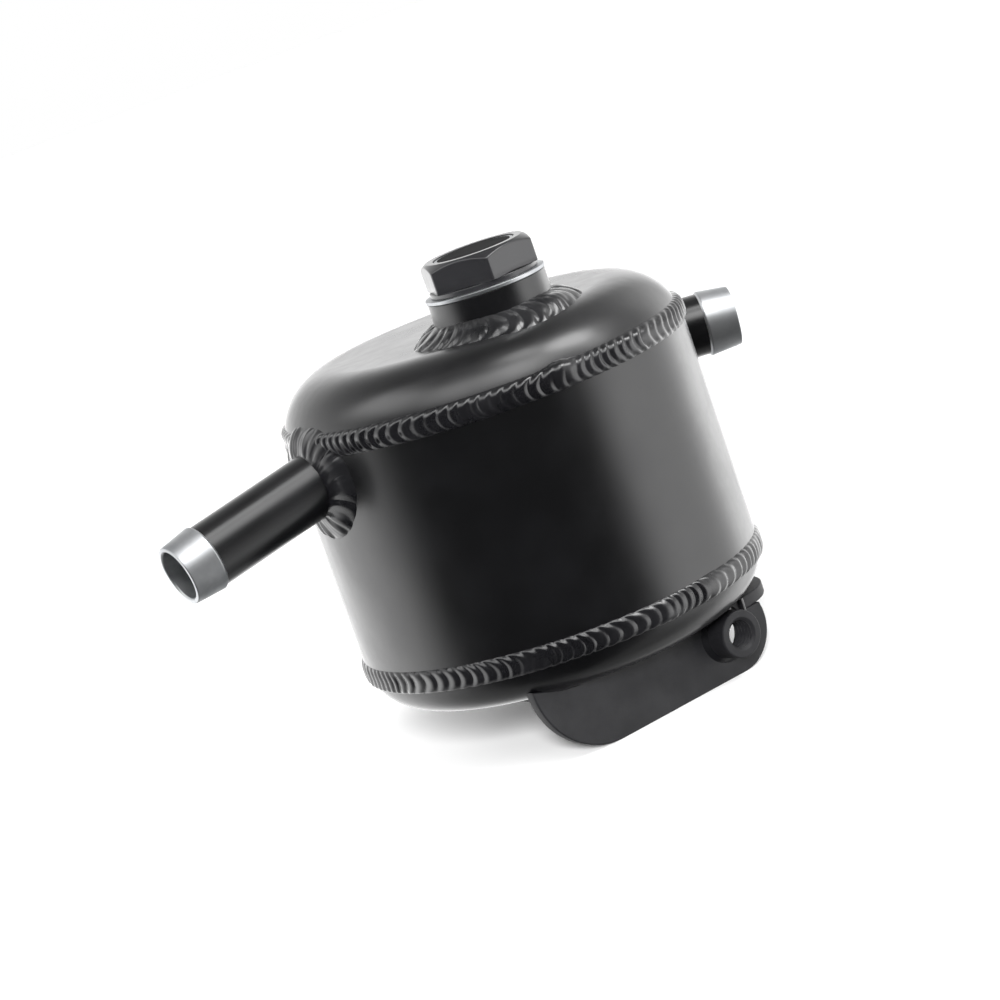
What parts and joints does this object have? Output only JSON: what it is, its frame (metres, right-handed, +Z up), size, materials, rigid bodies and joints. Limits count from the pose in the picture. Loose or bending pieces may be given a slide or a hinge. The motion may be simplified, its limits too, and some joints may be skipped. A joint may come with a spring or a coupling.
{
  "type": "oil catch can",
  "caption": "Black welded aluminium oil catch can with a hexagon filler plug, barbed hose spigots, an inner baffle and a flanged mounting bracket.",
  "frame": {"origin": "centre of the bracket's threaded hole, at the front face of its boss", "axes": "+Z up along the can's axis towards its filler plug; -Y out of the mouth of the boss's threaded hole; +X to the right as seen from the boss's side"},
  "size_m": [0.1727, 0.1036, 0.1203],
  "materials": {
    "black_coat": "satin black coat over aluminium",
    "weld_coat": "gloss black coat over a rippled weld",
    "bracket_coat": "matte black powder coat over aluminium",
    "plug_satin": "satin dark anodised",
    "bare_aluminium": "turned bare metal"
  },
  "bodies": {
    "can": {"body_tube": "black_coat", "top_cap": "black_coat", "bottom_cap": "black_coat", "top_seam_weld": "weld_coat", "bottom_seam_weld": "weld_coat", "filler_neck": "black_coat", "neck_weld": "weld_coat", "left_spigot": "black_coat", "left_spigot_weld": "weld_coat", "right_spigot": "black_coat", "right_spigot_weld": "weld_coat", "bracket_flange": "bracket_coat", "bracket_plate": "bracket_coat", "bracket_boss": "bracket_coat", "flange_weld": "bracket_coat", "plate_weld": "bracket_coat", "boss_weld": "bracket_coat", "baffle_plate": "bare_aluminium", "baffle_tacks": "bare_aluminium"},
    "washer": {"plug_washer": "bare_aluminium"},
    "plug": {"filler_plug": "plug_satin", "plug_disc": "bare_aluminium"}
  },
  "joints": [
    {"name": "plug_lift", "type": "slide", "parent": "can", "child": "washer", "axis": [0, 0, 1], "range_m": [0, 0.009]},
    {"name": "plug_turn", "type": "hinge", "parent": "washer", "child": "plug", "pos_m": [-0.02469, 0.019, 0.1], "axis": [0, 0, 1], "range_deg": [0, 2160]}
  ],
  "couplings": [
    {"joint": "plug_lift", "follows": "plug_turn", "m_per_rad": 0.00023873}
  ]
}
